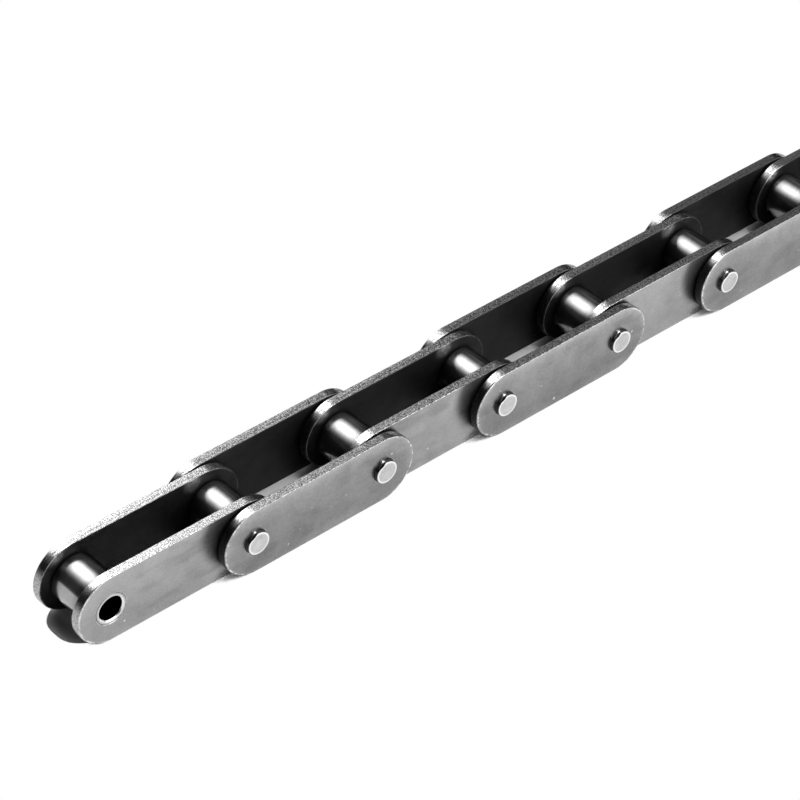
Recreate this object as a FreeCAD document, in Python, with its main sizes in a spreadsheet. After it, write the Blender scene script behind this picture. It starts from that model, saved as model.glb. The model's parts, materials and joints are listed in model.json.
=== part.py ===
import FreeCAD, Part
import math
import os

import Sketcher

# Double pitch roller chain: a strand of seven links, lying straight on the lower edges of its plates.
# The strand runs along +X, its pins lie along Y, and +Z is up.
# The origin is under the middle of the strand, on the surface that it lies on.
# Odd links are inner links: two plates pressed onto two bushes, with a loose roller on each bush.
# Even links are outer links: two plates pressed onto two pins, which turn in the bushes.
# All lengths are in millimetres.

LINK_COUNT = 7

# Driving sizes, one cell each: the name, the value and what it measures.
DRIVING_SIZES = [
    ("pitch", 31.75, "distance between neighbouring joint axes"),
    ("plate_height", 15.0, "height of every side plate"),
    ("plate_thickness", 2.03, "thickness of every side plate"),
    ("inner_width", 9.6, "clear width between the plates of an inner link"),
    ("side_gap", 0.6, "play between an inner plate and the outer plate beside it"),
    ("pin_diameter", 5.08, "diameter of the pins"),
    ("pin_protrusion", 0.9, "how far a pin stands out of the outer plate"),
    ("pin_clearance", 0.05, "radial running clearance of a pin in its bush"),
    ("bush_wall", 0.83, "wall of the bushes"),
    ("roller_clearance", 0.07, "radial running clearance of a roller on its bush"),
    ("roller_wall", 1.59, "wall of the rollers"),
    ("roller_side_play", 0.15, "play between a roller's end and the inner plate"),
    ("plate_chamfer", 0.25, "chamfer of the outline on a plate's outward face"),
    ("pin_chamfer", 0.25, "chamfer at both ends of a pin"),
    ("bore_chamfer", 0.28, "chamfer at both mouths of a bush's bore"),
    ("roller_chamfer", 0.35, "chamfer at both ends of a roller"),
]

# Sizes that follow from the driving ones: the name, the formula and what it measures.
DERIVED_SIZES = [
    ("end_radius", "=plate_height / 2", "radius of the plates' half-round ends"),
    ("axis_height", "=plate_height / 2", "height of the joint axes above the surface"),
    ("bush_bore", "=pin_diameter + 2 * pin_clearance", "bore of the bushes"),
    ("bush_diameter", "=bush_bore + 2 * bush_wall", "outer diameter of the bushes"),
    ("bush_length", "=inner_width + 2 * plate_thickness", "length of the bushes, flush with the plates"),
    ("roller_bore", "=bush_diameter + 2 * roller_clearance", "bore of the rollers"),
    ("roller_diameter", "=roller_bore + 2 * roller_wall", "outer diameter of the rollers"),
    ("roller_length", "=inner_width - 2 * roller_side_play", "length of the rollers"),
    ("outer_width", "=bush_length + 2 * side_gap", "clear width between the plates of an outer link"),
    ("pin_length", "=outer_width + 2 * plate_thickness + 2 * pin_protrusion", "length of the pins"),
]

SHEET = "Dimensions"

# The way from the strand's middle plane to the plate on each side, along Y.
SIDES = {"front": -1, "rear": 1}

# The two joint axes of a link, counted from its left one.
ENDS = {"left": 0, "right": 1}

UP = FreeCAD.Vector(0, 0, 1)
TOLERANCE = 0.001


def make_sheet(doc):
    """Fill the spreadsheet: one row for each size, with its name, its value and what it measures."""
    sheet = doc.addObject("Spreadsheet::Sheet", SHEET)
    for row, (name, value, meaning) in enumerate(DRIVING_SIZES + DERIVED_SIZES, start=1):
        sheet.set(f"A{row}", name)
        sheet.set(f"B{row}", str(value))
        sheet.set(f"C{row}", meaning)
        sheet.setAlias(f"B{row}", name)
    doc.recompute()
    return sheet


def make_body(doc, name, axis_number, offset="0"):
    """Start a sub-part with its own origin on a joint axis, offset along Y by an expression."""
    body = doc.addObject("PartDesign::Body", name)
    body.Label = name
    pitches_from_middle = axis_number - LINK_COUNT / 2
    body.setExpression("Placement.Base.x", f"{SHEET}.pitch * {pitches_from_middle}")
    body.setExpression("Placement.Base.y", offset)
    body.setExpression("Placement.Base.z", f"{SHEET}.axis_height")
    return body


def make_sketch(body, name):
    """Start a sketch on the body's XZ plane, which faces the front."""
    sketch = body.newObject("Sketcher::SketchObject", f"{body.Name}_{name}")
    plane = next(item for item in body.Origin.OriginFeatures if item.Role == "XZ_Plane")
    sketch.AttachmentSupport = [(plane, "")]
    sketch.MapMode = "FlatFace"
    return sketch


def constrain_size(sketch, name, formula, *constraint):
    """Add a named dimension to a sketch and bind it to a formula of the sheet's cells."""
    index = sketch.addConstraint(Sketcher.Constraint(*constraint))
    sketch.renameConstraint(index, name)
    sketch.setExpression(f"Constraints.{name}", formula)


def draw_outline(sketch, sheet):
    """Draw a plate's outline: two straight edges, joined by half circles about both joint axes."""
    pitch = sheet.get("pitch")
    radius = sheet.get("end_radius")
    quarter = math.pi / 2
    left_circle = Part.Circle(FreeCAD.Vector(0, 0, 0), UP, radius)
    right_circle = Part.Circle(FreeCAD.Vector(pitch, 0, 0), UP, radius)
    outline = [
        Part.ArcOfCircle(left_circle, quarter, 3 * quarter),
        Part.LineSegment(FreeCAD.Vector(0, -radius, 0), FreeCAD.Vector(pitch, -radius, 0)),
        Part.ArcOfCircle(right_circle, -quarter, quarter),
        Part.LineSegment(FreeCAD.Vector(pitch, radius, 0), FreeCAD.Vector(0, radius, 0)),
    ]
    left, lower, right, upper = sketch.addGeometry(outline, False)
    for first, second in ((left, lower), (lower, right), (right, upper), (upper, left)):
        sketch.addConstraint(Sketcher.Constraint("Tangent", first, 2, second, 1))
    sketch.addConstraint(Sketcher.Constraint("Coincident", left, 3, -1, 1))
    sketch.addConstraint(Sketcher.Constraint("PointOnObject", right, 3, -1))
    sketch.addConstraint(Sketcher.Constraint("Equal", left, right))
    constrain_size(sketch, "end_radius", f"{SHEET}.end_radius", "Radius", left, radius)
    constrain_size(sketch, "pitch", f"{SHEET}.pitch", "DistanceX", left, 3, right, 3, pitch)
    return left, right


def draw_circle(sketch, sheet, name, centre, centre_point):
    """Draw a circle whose diameter is the named cell, about a point of the sketch's geometry."""
    diameter = sheet.get(name)
    circle = sketch.addGeometry(Part.Circle(FreeCAD.Vector(0, 0, 0), UP, diameter / 2), False)
    sketch.addConstraint(Sketcher.Constraint("Coincident", circle, 3, centre, centre_point))
    constrain_size(sketch, f"{name}_{circle}", f"{SHEET}.{name}", "Diameter", circle, diameter)


def pad_sketch(body, sketch, length, **settings):
    """Pad a sketch by the named cell; settings choose the pad's direction."""
    pad = body.newObject("PartDesign::Pad", f"{body.Name}_pad")
    pad.Profile = sketch
    for setting, value in settings.items():
        setattr(pad, setting, value)
    pad.setExpression("Length", f"{SHEET}.{length}")
    body.Document.recompute()
    return pad


def chamfer_edges(body, pad, size, is_wanted):
    """Chamfer, by the named cell, every edge of the pad that is wanted."""
    edges = enumerate(pad.Shape.Edges, start=1)
    names = [f"Edge{number}" for number, edge in edges if is_wanted(edge)]
    chamfer = body.newObject("PartDesign::Chamfer", f"{body.Name}_{size}")
    chamfer.Base = (pad, names)
    chamfer.setExpression("Size", f"{SHEET}.{size}")


def outline_edge_at(level):
    """Pick the open edges, which are those of a plate's outline, in the plane y = level."""

    def is_wanted(edge):
        ends = [vertex.Y for vertex in edge.Vertexes]
        return not edge.isClosed() and all(abs(y - level) < TOLERANCE for y in ends)

    return is_wanted


def circle_of_diameter(diameter):
    """Pick the closed circular edges of one diameter."""

    def is_wanted(edge):
        return edge.isClosed() and abs(edge.Curve.Radius - diameter / 2) < TOLERANCE

    return is_wanted


def make_plate(doc, sheet, number, side, width, hole):
    """Build one side plate, blanked and pierced from strip, with its outline chamfered outward.

    width names the cell of the clear width that the plate bounds, and hole the cell of the diameter
    that it is pressed onto.
    """
    way = SIDES[side]
    left_axis = number - 1
    body = make_body(doc, f"link_{number}_{side}_plate", left_axis, f"{SHEET}.{width} / 2 * {way}")
    sketch = make_sketch(body, "blank")
    for arc in draw_outline(sketch, sheet):
        draw_circle(sketch, sheet, hole, arc, 3)
    pad = pad_sketch(body, sketch, "plate_thickness", Reversed=side == "rear")
    outward_face = way * sheet.get("plate_thickness")
    chamfer_edges(body, pad, "plate_chamfer", outline_edge_at(outward_face))
    return body


def make_round_part(doc, sheet, name, axis_number, diameter, length, bore=None):
    """Build a pin, or with a bore a tube, about a joint axis and centred on the strand's middle plane."""
    body = make_body(doc, name, axis_number)
    sketch = make_sketch(body, "section")
    draw_circle(sketch, sheet, diameter, -1, 1)
    if bore:
        draw_circle(sketch, sheet, bore, -1, 1)
    pad = pad_sketch(body, sketch, length, SideType="Symmetric")
    return body, pad


def make_bush(doc, sheet, number, end):
    """Build a bush: a tube pressed flush into both inner plates, with a chamfer at each mouth."""
    axis_number = number - 1 + ENDS[end]
    name = f"link_{number}_{end}_bush"
    body, pad = make_round_part(doc, sheet, name, axis_number, "bush_diameter", "bush_length", "bush_bore")
    chamfer_edges(body, pad, "bore_chamfer", circle_of_diameter(sheet.get("bush_bore")))
    return body


def make_roller(doc, sheet, number, end):
    """Build a roller: a thick tube that runs on a bush between the inner plates."""
    axis_number = number - 1 + ENDS[end]
    name = f"link_{number}_{end}_roller"
    body, pad = make_round_part(doc, sheet, name, axis_number, "roller_diameter", "roller_length", "roller_bore")
    chamfer_edges(body, pad, "roller_chamfer", circle_of_diameter(sheet.get("roller_diameter")))
    return body


def make_pin(doc, sheet, number, end):
    """Build a pin: a solid round bar with chamfered ends, which stands out of both outer plates."""
    axis_number = number - 1 + ENDS[end]
    name = f"link_{number}_{end}_pin"
    body, pad = make_round_part(doc, sheet, name, axis_number, "pin_diameter", "pin_length")
    chamfer_edges(body, pad, "pin_chamfer", circle_of_diameter(sheet.get("pin_diameter")))
    return body


def make_inner_link(doc, sheet, number):
    """Build an inner link: two plates, two bushes and two rollers."""
    plates = [make_plate(doc, sheet, number, side, "inner_width", "bush_diameter") for side in SIDES]
    bushes = [make_bush(doc, sheet, number, end) for end in ENDS]
    rollers = [make_roller(doc, sheet, number, end) for end in ENDS]
    return plates + bushes + rollers


def make_outer_link(doc, sheet, number):
    """Build an outer link: two plates and two pins."""
    plates = [make_plate(doc, sheet, number, side, "outer_width", "pin_diameter") for side in SIDES]
    pins = [make_pin(doc, sheet, number, end) for end in ENDS]
    return plates + pins


def check_document(doc, parts):
    """Stop unless every object is sound and every sub-part is one valid solid, smaller than its pad."""
    failed = [item.Name for item in doc.Objects if {"Invalid", "Error"} & set(item.State)]
    if failed:
        raise RuntimeError(f"not computed: {failed}")
    for body in parts:
        shape = body.Shape
        if shape.isNull() or not shape.isValid() or len(shape.Solids) != 1:
            raise RuntimeError(f"not one valid solid: {body.Label}")
        pad = doc.getObject(f"{body.Name}_pad")
        if shape.Volume >= pad.Shape.Volume:
            raise RuntimeError(f"edges not chamfered: {body.Label}")


def main():
    """Build the strand link by link and write one file for each sub-part."""
    doc = FreeCAD.newDocument("double_pitch_roller_chain")
    sheet = make_sheet(doc)
    parts = []
    for number in range(1, LINK_COUNT + 1):
        is_inner = number % 2 == 1
        make_link = make_inner_link if is_inner else make_outer_link
        parts += make_link(doc, sheet, number)
    doc.recompute()
    check_document(doc, parts)
    os.makedirs("parts", exist_ok=True)
    for body in parts:
        body.Shape.exportStep(f"parts/{body.Label}.step")
    print(f"{len(parts)} sub-parts written")


main()
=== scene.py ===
"""Double pitch roller chain: the finished pieces, their steel, the studio and the camera.

Every piece is a surface worked out with numpy, in metres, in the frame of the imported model.
"""

import json
import logging
import math
from dataclasses import dataclass, field
from enum import Enum

import bpy
import numpy as np
from mathutils import Matrix, Vector

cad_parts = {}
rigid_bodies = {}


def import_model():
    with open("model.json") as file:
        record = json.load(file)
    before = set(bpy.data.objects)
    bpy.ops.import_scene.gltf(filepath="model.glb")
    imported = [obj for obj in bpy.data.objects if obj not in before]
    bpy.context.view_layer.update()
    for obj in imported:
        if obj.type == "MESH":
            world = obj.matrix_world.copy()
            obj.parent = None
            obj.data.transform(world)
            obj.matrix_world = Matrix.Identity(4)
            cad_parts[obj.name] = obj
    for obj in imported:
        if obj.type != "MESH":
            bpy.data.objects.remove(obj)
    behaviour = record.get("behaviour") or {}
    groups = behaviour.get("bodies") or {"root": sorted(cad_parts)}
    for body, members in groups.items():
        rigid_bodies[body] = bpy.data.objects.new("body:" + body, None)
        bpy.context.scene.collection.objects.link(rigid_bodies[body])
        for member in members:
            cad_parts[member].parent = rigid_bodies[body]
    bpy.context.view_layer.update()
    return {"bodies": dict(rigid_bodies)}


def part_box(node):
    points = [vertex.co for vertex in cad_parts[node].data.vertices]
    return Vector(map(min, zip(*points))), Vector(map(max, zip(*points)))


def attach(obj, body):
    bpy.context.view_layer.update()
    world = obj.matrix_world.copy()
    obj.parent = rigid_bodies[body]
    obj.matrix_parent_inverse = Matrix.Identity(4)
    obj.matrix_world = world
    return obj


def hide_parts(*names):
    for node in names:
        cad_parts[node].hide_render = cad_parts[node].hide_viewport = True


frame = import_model()

MM = 0.001
LOG = logging.getLogger("chain")


class Side(Enum):
    """The side of the strand that a plate is on, with the way that it faces along Y."""

    FRONT = -1
    REAR = 1


class LinkKind(Enum):
    """The two kinds of link that take turns along the strand."""

    INNER = "inner"
    OUTER = "outer"


@dataclass(frozen=True)
class Zone:
    """Names of the point attributes that tell a finish where it is on a piece."""

    sheared: str = "sheared"
    # real wear, and painted highlights: the roller's mirrored highlight on inner plates and the
    # glints on pin burrs
    wear_and_highlight: str = "wear_and_highlight"
    strip: str = "strip"
    # this layer holds painted shade on inward faces, plate edges, pin sides, bores and roller
    # ends, and the dark joint line round each bush's rims
    grime_and_shade: str = "grime_and_shade"
    lit: str = "lit"
    glow: str = "glow"


ZONE = Zone()


# Surfaces on grids


@dataclass
class Surface:
    """Points, four-cornered faces and point attributes of one piece."""

    points: np.ndarray
    faces: np.ndarray
    attributes: dict[str, np.ndarray] = field(default_factory=dict)

    def joined(self, *others: "Surface") -> "Surface":
        """Put other surfaces beside this one, without welding them.

        Args:
            others: the surfaces to add, with the same attributes.

        Returns:
            One surface that holds them all.
        """
        parts = [self, *others]
        starts = np.cumsum([0] + [len(part.points) for part in parts[:-1]])
        faces = [part.faces + start for part, start in zip(parts, starts)]
        attributes = {
            name: np.concatenate([part.attributes[name] for part in parts])
            for name in self.attributes}
        points = np.concatenate([part.points for part in parts])
        return Surface(points, np.concatenate(faces), attributes)

    def welded(self, grain: float = 1e-6) -> "Surface":
        """Merge the points that lie in one place, which closes seams and poles.

        Args:
            grain: the distance that counts as one place.

        Returns:
            The same surface with each place held once.
        """
        off_border = 0.137  # keeps round numbers away from the border between two places
        keys = np.round(self.points / grain + off_border).astype(np.int64)
        _, first, back = np.unique(keys, axis=0, return_index=True, return_inverse=True)
        attributes = {name: values[first] for name, values in self.attributes.items()}
        return Surface(self.points[first], back.reshape(-1)[self.faces], attributes)


def grid_faces(rows: int, columns: int, closed: bool = False) -> np.ndarray:
    """Number the corners of the quads on a grid of points kept row by row.

    Args:
        rows: how many rows of points there are.
        columns: how many points each row has.
        closed: whether the last column joins the first one.

    Returns:
        An array of faces by four corners.
    """
    steps = np.arange(columns if closed else columns - 1)
    row, column = np.meshgrid(np.arange(rows - 1), steps, indexing="ij")
    here, above = row * columns, (row + 1) * columns
    after = (column + 1) % columns
    corners = [here + column, here + after, above + after, above + column]
    return np.stack(corners, axis=-1).reshape(-1, 4)


def make_object(name: str, surface: Surface, material: bpy.types.Material) -> bpy.types.Object:
    """Make a smooth-shaded object at the origin from a surface.

    A face keeps the corners that weren't welded to the next one, and needs three of them.

    Args:
        name: the piece's name.
        surface: the welded surface.
        material: the finish.

    Returns:
        The new object, linked to the scene.
    """
    faces = surface.faces
    kept = faces != np.roll(faces, -1, axis=1)
    solid = kept.sum(axis=1) >= 3
    faces, kept = faces[solid], kept[solid]
    totals = kept.sum(axis=1)
    starts = np.concatenate([[0], np.cumsum(totals)[:-1]])
    mesh = bpy.data.meshes.new(name)
    mesh.vertices.add(len(surface.points))
    mesh.vertices.foreach_set("co", surface.points.astype(np.float32).ravel())
    mesh.loops.add(int(totals.sum()))
    mesh.loops.foreach_set("vertex_index", faces[kept].astype(np.int32))
    mesh.polygons.add(len(faces))
    mesh.polygons.foreach_set("loop_start", starts.astype(np.int32))
    mesh.update(calc_edges=True)
    mesh.validate()
    for key, values in surface.attributes.items():
        kind, word = ("FLOAT_VECTOR", "vector") if values.ndim == 2 else ("FLOAT", "value")
        layer = mesh.attributes.new(key, kind, "POINT")
        layer.data.foreach_set(word, values.astype(np.float32).ravel())
    mesh.shade_smooth()
    mesh.materials.append(material)
    item = bpy.data.objects.new(name, mesh)
    bpy.context.scene.collection.objects.link(item)
    return item


def ripple(seed: int, shape: tuple[int, int], reach: tuple[float, float]) -> np.ndarray:
    """Make smooth random height values on a grid that repeats along both of its ways.

    White noise is blurred by a bell curve: its spectrum is multiplied by the bell's spectrum.

    Args:
        seed: the number that fixes the pattern.
        shape: rows and columns of the grid.
        reach: the bell's width along rows and along columns, in grid steps.

    Returns:
        An array of that shape with a mean of 0 and a spread of 1.
    """
    noise = np.random.default_rng(seed).standard_normal(shape)
    along = np.fft.fftfreq(shape[0])[:, None] * reach[0]
    across = np.fft.fftfreq(shape[1])[None, :] * reach[1]
    spectrum = np.exp(-2 * (math.pi ** 2) * (along ** 2 + across ** 2))
    smooth = np.fft.ifft2(np.fft.fft2(noise) * spectrum).real
    smooth -= smooth.mean()
    return smooth / smooth.std()


def ramp(value: np.ndarray, low: np.ndarray | float, high: np.ndarray | float) -> np.ndarray:
    """Rise in a straight line from 0 at low to 1 at high; low may be the larger one."""
    return np.clip((value - low) / (high - low), 0.0, 1.0)


def bell(value: np.ndarray, middle: float, reach: float) -> np.ndarray:
    """Give exp(-((value - middle) / reach)²), which is 1 at the middle."""
    return np.exp(-((value - middle) / reach) ** 2)


# Finishes


Value = float | tuple[float, ...] | bpy.types.NodeSocket


@dataclass(frozen=True)
class Pattern:
    """A noise: its cells per metre, its detail and roughness, and where it rises from 0 to 1."""

    scale: float
    detail: float = 3.0
    rough: float = 0.6
    span: tuple[float, float] | None = None


class NodeGraph:
    """A node tree with short calls that add a node, set its inputs and return its output."""

    def __init__(self, tree: bpy.types.NodeTree) -> None:
        """Empty the tree and keep it."""
        self.tree = tree
        self.tree.nodes.clear()

    def add(self, kind: str, inputs: dict[str | int, Value] | None = None,
            **settings: object) -> bpy.types.Node:
        """Add one node.

        Args:
            kind: the node's type.
            inputs: a value or an output for each named input.
            settings: the node's own properties.

        Returns:
            The new node.
        """
        node = self.tree.nodes.new(kind)
        for key, value in settings.items():
            setattr(node, key, value)
        for key, value in (inputs or {}).items():
            if isinstance(value, bpy.types.NodeSocket):
                self.tree.links.new(value, node.inputs[key])
            else:
                node.inputs[key].default_value = value
        return node

    def math(self, operation: str, *numbers: Value) -> bpy.types.NodeSocket:
        """Add a Math node with its inputs in order, and return its output."""
        return self.add("ShaderNodeMath", dict(enumerate(numbers)), operation=operation).outputs[0]

    def blend(self, share: Value, first: Value, second: Value) -> bpy.types.NodeSocket:
        """Mix two plain numbers by a share from 0 to 1 and return the result."""
        inputs = {0: share, 2: first, 3: second}
        return self.add("ShaderNodeMix", inputs, data_type="FLOAT").outputs[0]

    def mixed(self, share: Value, first: Value, second: Value) -> bpy.types.NodeSocket:
        """Mix two shaders by a share from 0 to 1 and return the result."""
        return self.add("ShaderNodeMixShader", {0: share, 1: first, 2: second}).outputs[0]

    def step(self, value: Value, low: float, high: float) -> bpy.types.NodeSocket:
        """Rise smoothly from 0 at low to 1 at high; low may be the larger one."""
        inputs = {"Value": value, "From Min": low, "From Max": high}
        return self.add("ShaderNodeMapRange", inputs, interpolation_type="SMOOTHSTEP").outputs[0]

    def noise(self, where: Value, pattern: Pattern) -> bpy.types.NodeSocket:
        """Lay a noise over a position, with a smooth step where the pattern has one."""
        factor = self.add("ShaderNodeTexNoise", {
            "Vector": where, "Scale": pattern.scale, "Detail": pattern.detail,
            "Roughness": pattern.rough}).outputs[0]
        return self.step(factor, *pattern.span) if pattern.span else factor

    def swing(self, middle: Value, noise: Value, reach: float) -> bpy.types.NodeSocket:
        """Raise and lower a number by a noise's distance from one half, times a reach."""
        return self.math("MULTIPLY_ADD", self.math("SUBTRACT", noise, 0.5), reach, middle)

    def dimmed(self, tone: Value, share: Value, most: float) -> bpy.types.NodeSocket:
        """Darken a tone where a share is high, by at most the given part of it."""
        return self.math("MULTIPLY", tone, self.math("MULTIPLY_ADD", share, -most, 1.0))

    def stretched(self, where: Value, scale: tuple[float, float, float],
                  turn: float = 0.0) -> bpy.types.NodeSocket:
        """Scale a position along each axis after a turn about Y, and return it."""
        inputs = {"Vector": where, "Rotation": (0.0, turn, 0.0), "Scale": scale}
        return self.add("ShaderNodeMapping", inputs, vector_type="POINT").outputs[0]

    def layer(self, name: str, output: str = "Fac") -> bpy.types.NodeSocket:
        """Read one of the piece's own layers, as a number or as a vector."""
        node = self.add("ShaderNodeAttribute", attribute_name=name, attribute_type="GEOMETRY")
        return node.outputs[output]

    def position(self) -> bpy.types.NodeSocket:
        """Return the Object coordinates, which are the frame's, in metres."""
        return self.add("ShaderNodeTexCoord").outputs["Object"]

    def along(self, axis: str, where: Value) -> bpy.types.NodeSocket:
        """Return a position's part along X, Y or Z."""
        return self.add("ShaderNodeSeparateXYZ", {0: where}).outputs[axis]

    def grey(self, value: Value) -> bpy.types.NodeSocket:
        """Turn a number into a neutral colour."""
        return self.add("ShaderNodeCombineColor", {0: value, 1: value, 2: value}).outputs[0]

    def finish(self, shader: Value) -> None:
        """Give a shader to the material's surface."""
        self.add("ShaderNodeOutputMaterial", {"Surface": shader})

    def steel(self, tone: Value, roughness: Value, height: Value) -> None:
        """Finish the tree with bare steel.

        Args:
            tone: how much light the metal sends back, from 0 to 1.
            roughness: the shader's roughness.
            height: the relief in metres.
        """
        bump = self.add("ShaderNodeBump", {"Height": height, "Distance": 1.0, "Strength": 1.0})
        self.finish(self.add("ShaderNodeBsdfPrincipled", {
            "Base Color": self.grey(tone), "Roughness": roughness, "Metallic": 1.0,
            "Normal": bump.outputs[0]}).outputs[0])


def new_material(name: str) -> tuple[bpy.types.Material, NodeGraph]:
    """Start a material with an empty tree.

    Args:
        name: the material's name.

    Returns:
        The material and its tree.
    """
    material = bpy.data.materials.new(name)
    material.use_nodes = True
    return material, NodeGraph(material.node_tree)


@dataclass(frozen=True)
class PlateFinish:
    """Tumbled strip: grey mottled faces, rough bright sheared edges and bright corners with wear.

    Tones are shares of the light sent back, lengths are in millimetres, and a pattern on a
    stretched position has its cells per metre in the stretch.
    """

    name: str
    tone: float = 0.385
    cloud: Pattern = Pattern(160.0, 5.0, 0.62)
    mottle: float = 0.26
    grain: Pattern = Pattern(2600.0)
    fine_mottle: float = 0.16
    smears: Pattern = Pattern(1.0, 3.0, 0.5, (0.52, 0.68))
    smear_scale: tuple[float, float, float] = (60.0, 60.0, 190.0)
    smear_turn: float = 0.35
    smear: float = 0.09
    shade_span: tuple[float, float] = (14.0, 1.0)
    shade: float = 0.20
    rim_light: float = 0.12
    specks: Pattern = Pattern(900.0, 2.0, 0.4, (0.735, 0.79))
    speck_tone: float = 0.60
    edge_tone: float = 0.95
    edge_grain: tuple[float, float] = (0.24, 0.30)
    streaks: Pattern = Pattern(1.0, 4.0, 0.65)
    streak_span: tuple[float, float] = (0.35, 0.62)
    streak_tone: float = 0.18
    pits: Pattern = Pattern(2400.0, span=(0.385, 0.33))
    pit_tone: float = 0.08
    rubbing: Pattern = Pattern(1100.0, span=(0.40, 0.60))
    wear_and_highlight_tone: float = 0.85
    shade_share: float = 0.92
    sheen: Pattern = Pattern(700.0, 4.0)
    face_roughness: float = 0.28
    face_swing: float = 0.16
    edge_roughness: float = 0.19
    edge_swing: float = 0.30
    wear_and_highlight_roughness: float = 0.45
    shade_roughness: float = 0.20
    face_relief: float = 0.0008
    edge_relief: float = 0.032

    def build(self) -> bpy.types.Material:
        """Make the material.

        Returns:
            A material that reads the piece's sheared, lit and strip layers, its layer of wear and
            painted highlights, and its layer of painted shade.
        """
        material, graph = new_material(self.name)
        where = graph.position()
        sheared, wear_and_highlight, grime_and_shade, lit = (
            graph.layer(name) for name in (ZONE.sheared, ZONE.wear_and_highlight, ZONE.grime_and_shade, ZONE.lit))
        strip = graph.layer(ZONE.strip, "Vector")
        grain = graph.noise(where, self.grain)
        per_metre = [1.0 / (MM * size) for size in self.edge_grain]
        streaks = graph.noise(graph.stretched(strip, (*per_metre, 1.0)), self.streaks)

        face = graph.swing(self.tone, graph.noise(where, self.cloud), self.mottle)
        face = graph.swing(face, grain, self.fine_mottle)
        smeared = graph.stretched(where, self.smear_scale, self.smear_turn)
        smears = graph.math("MULTIPLY", graph.noise(smeared, self.smears), self.smear)
        face = graph.math("SUBTRACT", face, smears)
        low = graph.step(graph.along("Z", where), *(MM * height for height in self.shade_span))
        face = graph.dimmed(face, low, self.shade)
        rim = graph.math("MULTIPLY_ADD", lit, self.rim_light, 1.0)
        face = graph.math("MULTIPLY", face, rim)
        face = graph.blend(graph.noise(where, self.specks), face, self.speck_tone)

        raised = graph.step(streaks, *self.streak_span)
        edge = graph.blend(raised, self.edge_tone * self.streak_tone, self.edge_tone)
        edge = graph.blend(graph.noise(strip, self.pits), edge, self.pit_tone)

        # painted highlights ride on this layer with the real wear: the roller's mirrored highlight
        # on inner plates takes the bright wear tone
        rubbed = graph.math("MULTIPLY", wear_and_highlight, graph.noise(where, self.rubbing))
        tone = graph.blend(rubbed, graph.blend(sheared, face, edge), self.wear_and_highlight_tone)
        # painted shade: the tone is darkened where the layer of painted shade lies
        tone = graph.dimmed(tone, grime_and_shade, self.shade_share)

        face_rough = graph.noise(where, self.sheen)
        face_rough = graph.swing(self.face_roughness, face_rough, self.face_swing)
        edge_rough = graph.swing(self.edge_roughness, streaks, self.edge_swing)
        roughness = graph.blend(sheared, face_rough, edge_rough)
        roughness = graph.blend(wear_and_highlight, roughness, self.wear_and_highlight_roughness)
        roughness = graph.math("MULTIPLY_ADD", grime_and_shade, self.shade_roughness, roughness)

        face_height = graph.math("MULTIPLY", grain, self.face_relief * MM)
        edge_height = graph.math("MULTIPLY", streaks, self.edge_relief * MM)
        graph.steel(tone, roughness, graph.blend(sheared, face_height, edge_height))
        return material


@dataclass(frozen=True)
class RoundFinish:
    """Turned or ground steel of a pin, bush or roller, with fine lines round its axis.

    Tones are shares of the light sent back, lengths are in millimetres, and a pattern on a
    stretched position has its cells per metre in the stretch.
    """

    name: str
    tone: float
    roughness: float
    roughness_swing: float = 0.14
    wear_and_highlight_tone: float = 0.85
    lines: Pattern = Pattern(1.0, 3.0, 0.7)
    line_pitch: float = 0.12
    line_swing: float = 0.12
    line_relief: float = 0.0006
    cloud: Pattern = Pattern(420.0, 5.0)
    stain: float = 0.30
    specks: Pattern = Pattern(2400.0)
    speckle: float = 0.10
    speck_relief: float = 0.0003

    def build(self) -> bpy.types.Material:
        """Make the material.

        Returns:
            A material that reads the piece's strip layer, its layer of wear and painted
            highlights, and its layer of painted shade and dark joint lines.
        """
        material, graph = new_material(self.name)
        where = graph.position()
        round_axis = (0.0, 1.0 / (MM * self.line_pitch), 0.0)
        strip = graph.stretched(graph.layer(ZONE.strip, "Vector"), round_axis)
        lines = graph.noise(strip, self.lines)
        cloud = graph.noise(where, self.cloud)
        specks = graph.noise(where, self.specks)
        tone = graph.swing(self.tone, cloud, self.stain)
        tone = graph.swing(tone, lines, self.line_swing)
        tone = graph.swing(tone, specks, self.speckle)
        # the bright wear tone also paints the glint on each pin's burr
        tone = graph.blend(graph.layer(ZONE.wear_and_highlight), tone, self.wear_and_highlight_tone)
        # painted shade, and the dark joint line round a bush's rims, darken the tone
        tone = graph.dimmed(tone, graph.layer(ZONE.grime_and_shade), 1.0)
        roughness = graph.swing(self.roughness, cloud, self.roughness_swing)
        height = graph.math("MULTIPLY", lines, self.line_relief * MM)
        height = graph.math("MULTIPLY_ADD", specks, self.speck_relief * MM, height)
        graph.steel(tone, roughness, height)
        return material


# Pieces of the chain


@dataclass
class Piece:
    """What every piece of the chain knows: its CAD node, its body, its slot and its finish."""

    node: str
    body: str
    slot: str
    material: bpy.types.Material

    def surface(self) -> Surface:
        """Work out the piece's surface; each kind of piece has its own."""
        raise NotImplementedError

    def dress(self) -> bpy.types.Object:
        """Make the piece in place of its CAD node.

        Returns:
            The finished object, riding on its body.
        """
        item = make_object(f"{self.node}_finished", self.surface().welded(), self.material)
        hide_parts(self.node)
        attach(item, self.body)
        LOG.info("%s: %d faces, on %s", item.name, len(item.data.polygons), self.body)
        return item


@dataclass
class HalfGrid:
    """A grid of points on one half of a plate, measured in metres from that half's joint axis.

    x runs along the strand and is negative beyond the axis, z runs up, and depth runs inward
    from the outward face. The right half is the left one mirrored.
    """

    x: np.ndarray
    z: np.ndarray
    depth: np.ndarray
    mirrored: bool


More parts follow.
